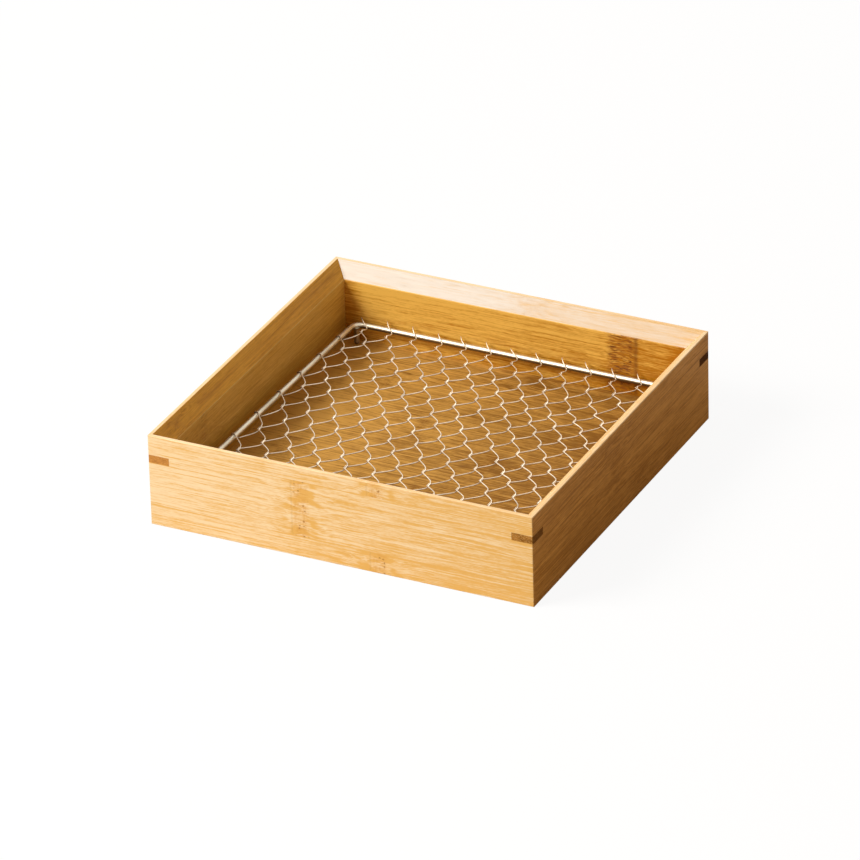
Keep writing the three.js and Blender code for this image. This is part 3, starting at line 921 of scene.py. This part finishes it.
def wrapLine(place, side):  # once round a side rod: in underneath, back over the top
    points = []
    start = math.radians(net["wrapFrom"])
    for step in range(net["wrapSteps"] + 1):
        share = step / net["wrapSteps"]
        angle = start + (2 * math.pi - 2 * start) * share
        y = place.y + (0.5 - share) * net["wrapReach"]
        x = side * (halfWidthAt(y) - aroundRod * math.cos(angle))
        points.append(Vector((x, y, rodLevel - aroundRod * math.sin(angle))))
    return points


def hookLine(place, end, chance):  # from a last twist to the rod, over it and on to a loose tip
    points = []
    sweep = math.radians(net["hookSweep"])
    lean = net["tipLean"] * chance.uniform(*net["leanRange"])
    flare = net["tipFlare"] * chance.uniform(*net["flareRange"])
    for step in range(1, net["hookSteps"] + 1):
        share = step / net["hookSteps"]
        reach = aroundRod + flare * share ** net["flarePower"]
        x = place.x + net["hookAside"] + lean * share ** net["leanPower"]
        y = end * (ring["halfDepth"] - reach * math.cos(sweep * share))
        points.append(Vector((x, y, rodLevel + reach * math.sin(sweep * share))))
    return points


def stubLine(twist, end, chance):  # a wire cut off just past its last twist
    tip = twist[0] if end > 0 else twist[-1]
    lift = net["stubLift"] * chance.uniform(*net["liftRange"])
    aside = net["stubAside"] * chance.uniform(*net["asideRange"])
    reach = Vector((aside, end * net["stubLength"], lift))
    return [tip + reach * (step / net["stubSteps"]) for step in range(1, net["stubSteps"] + 1)]


def turned(way, bend, side):
    degrees, share = bend
    return Matrix.Rotation(math.radians(-side * degrees), 3, "Z") @ way * share


def freeWire(before, after):  # between two stations, each a list of points and its kind
    start, finish = before[0][-1], after[0][0]
    way = finish - start
    side = math.copysign(1, way.x)
    chain = side > 0
    leave = (before[0][-1] - before[0][-2]).normalized() * way.length
    arrive = (after[0][1] - after[0][0]).normalized() * way.length
    if before[1] == "over":
        arrive = turned(way, net["hookBend"], 1)
    elif after[1] == "over":
        leave = turned(way, net["hookBend"], -1)
    else:
        if before[1] == "twist":
            leave = turned(way, net["chainLeaves" if chain else "linkLeaves"], side)
        else:
            leave = turned(way, net["wrapLeaves"], side)
        if after[1] == "twist":
            arrive = turned(way, net["chainMeets" if chain else "linkMeets"], side)
    points = []
    for step in range(1, net["freeSteps"] + 1):
        t = step / (net["freeSteps"] + 1)
        points.append(start * (2 * t ** 3 - 3 * t ** 2 + 1) + leave * (t ** 3 - 2 * t ** 2 + t)
                      + finish * (3 * t ** 2 - 2 * t ** 3) + arrive * (t ** 3 - t ** 2))
    return points


def makeNet(material):
    chance = random.Random(net["seed"])
    last = net["rows"] - 1
    places = {}
    for row in range(net["rows"]):
        for column in range(net["halfColumns"] + 1):
            if (row + column) % 2:
                shake = Vector([chance.uniform(-1, 1) * net["jitter"] for axis in range(3)])
                places[row, column] = netPlace(row, column) + shake * (0 < column < net["halfColumns"])
    lines = []
    for wire in range(net["halfColumns"]):
        stations = []
        for row in range(net["rows"]):
            fromLeft = (row + wire) % 2 == 0
            column = wire + 1 if fromLeft else wire
            place = places[row, column]
            end = 1 if row == 0 else -1 if row == last else 0
            if 0 < column < net["halfColumns"]:
                twist = twistLine(place, fromLeft, end)
                if not end:
                    stations.append((twist, "twist"))
                elif fromLeft == (end > 0):  # of a last twist's wires one hooks over the rod
                    hook = hookLine(place, end, chance)
                    over = [(hook[::-1], "over"), (twist, "twist")]
                    stations += over if end > 0 else [(twist, "twist"), (hook, "over")]
                else:  # and the other is cut off
                    stub = stubLine(twist, end, chance)
                    stations.append((stub[::-1] + twist if end > 0 else twist + stub, "twist"))
            else:
                place = place - Vector((0, net["wrapReach"] * end, 0))
                stations.append((wrapLine(place, 1 if column else -1), "wrap"))
        line = list(stations[0][0])
        for before, after in zip(stations, stations[1:]):
            line += freeWire(before, after) + list(after[0])
        lines.append([(point, 1) for point in line])
    mesh = curveMesh("net", lines, net["wireRadius"], net["sidesLevel"], False)
    addPiece("rack_net_wires", mesh, material, "rack", "wire_steel", "rack_net")
    print("net:", len(lines), "wires,", len(mesh.polygons), "faces")


stage = {
    "floorSize": 6.0,
    "floorTone": (0.50, 0.43, 0.36),
    "floorGlow": 0.92,  # share of the floor's white that shadows don't touch
    "fill": 0.37,
    "fillTint": (1.0, 0.80, 0.60),
}
lamps = [
    {"name": "key", "from": (-0.565, -0.505, 0.652), "away": 2.6, "size": 1.2, "watts": 76.0,
     "tint": (1.0, 0.98, 0.94)},
    {"name": "behind", "from": (-0.39, 0.78, 0.48), "away": 1.4, "size": 0.8, "watts": 1.5,
     "tint": (1.0, 0.98, 0.95)},
]


def pathShare(flow, *kinds):  # 1 for the named kinds of ray, 0 for the others
    path = flow.node("ShaderNodeLightPath", {}, {}, kinds[0])
    total = path
    for kind in kinds[1:]:
        total = total + Flow(flow.tree, path.socket.node.outputs[kind])
    return total.math("MINIMUM", total, 1)


def makeStage():
    bm = bmesh.new()
    bmesh.ops.create_grid(bm, x_segments=4, y_segments=4, size=stage["floorSize"] / 2)
    floor = bpy.data.objects.new("floor", toMesh("floor", bm))
    bpy.context.scene.collection.objects.link(floor)
    material, flow = newMaterial("paleFloor")
    seen = pathShare(flow, "Is Camera Ray", "Is Transmission Ray")
    tone = mixed(flow, seen, colour(*stage["floorTone"]), colour(1, 1, 1))
    matt = flow.node("ShaderNodeBsdfDiffuse", {}, {"Color": tone})
    glow = flow.node("ShaderNodeEmission", {}, {"Color": (1, 1, 1, 1), "Strength": 1.0})
    both = flow.node("ShaderNodeMixShader", {}, {0: seen * stage["floorGlow"], 1: matt, 2: glow})
    flow.node("ShaderNodeOutputMaterial", {}, {"Surface": both})
    floor.data.materials.append(material)

    world = bpy.data.worlds.new("studio")
    world.use_nodes = True
    world.node_tree.nodes.clear()
    flow = Flow(world.node_tree)
    soft = flow.node("ShaderNodeBackground", {}, {"Color": colour(*stage["fillTint"]),
                                                  "Strength": stage["fill"]})
    white = flow.node("ShaderNodeBackground", {}, {"Color": (1, 1, 1, 1), "Strength": 1.0})
    seen = pathShare(flow, "Is Camera Ray", "Is Glossy Ray", "Is Transmission Ray")
    both = flow.node("ShaderNodeMixShader", {}, {0: seen, 1: soft, 2: white})
    flow.node("ShaderNodeOutputWorld", {}, {"Surface": both})
    bpy.context.scene.world = world

    for lamp in lamps:
        data = bpy.data.lights.new(lamp["name"], "AREA")
        data.shape = "SQUARE"
        data.size = lamp["size"]
        data.energy = lamp["watts"]
        data.color = lamp["tint"]
        light = bpy.data.objects.new(lamp["name"], data)
        bpy.context.scene.collection.objects.link(light)
        direction = Vector(lamp["from"]).normalized()
        light.location = direction * lamp["away"]
        light.rotation_mode = "QUATERNION"
        light.rotation_quaternion = direction.to_track_quat("Z", "Y")
    print("stage: floor, world and", len(lamps), "lamps")


bpy.context.scene.view_settings.view_transform = "Standard"
makeCamera()
makeStage()
makeWalls()
makeKeys()
makePanel()
rodSteel = steelMaterial("rodSteel", rodLook)
makeFrame(rodSteel)
makeFeet(rodSteel)
makeNet(steelMaterial("wireSteel", wireLook))
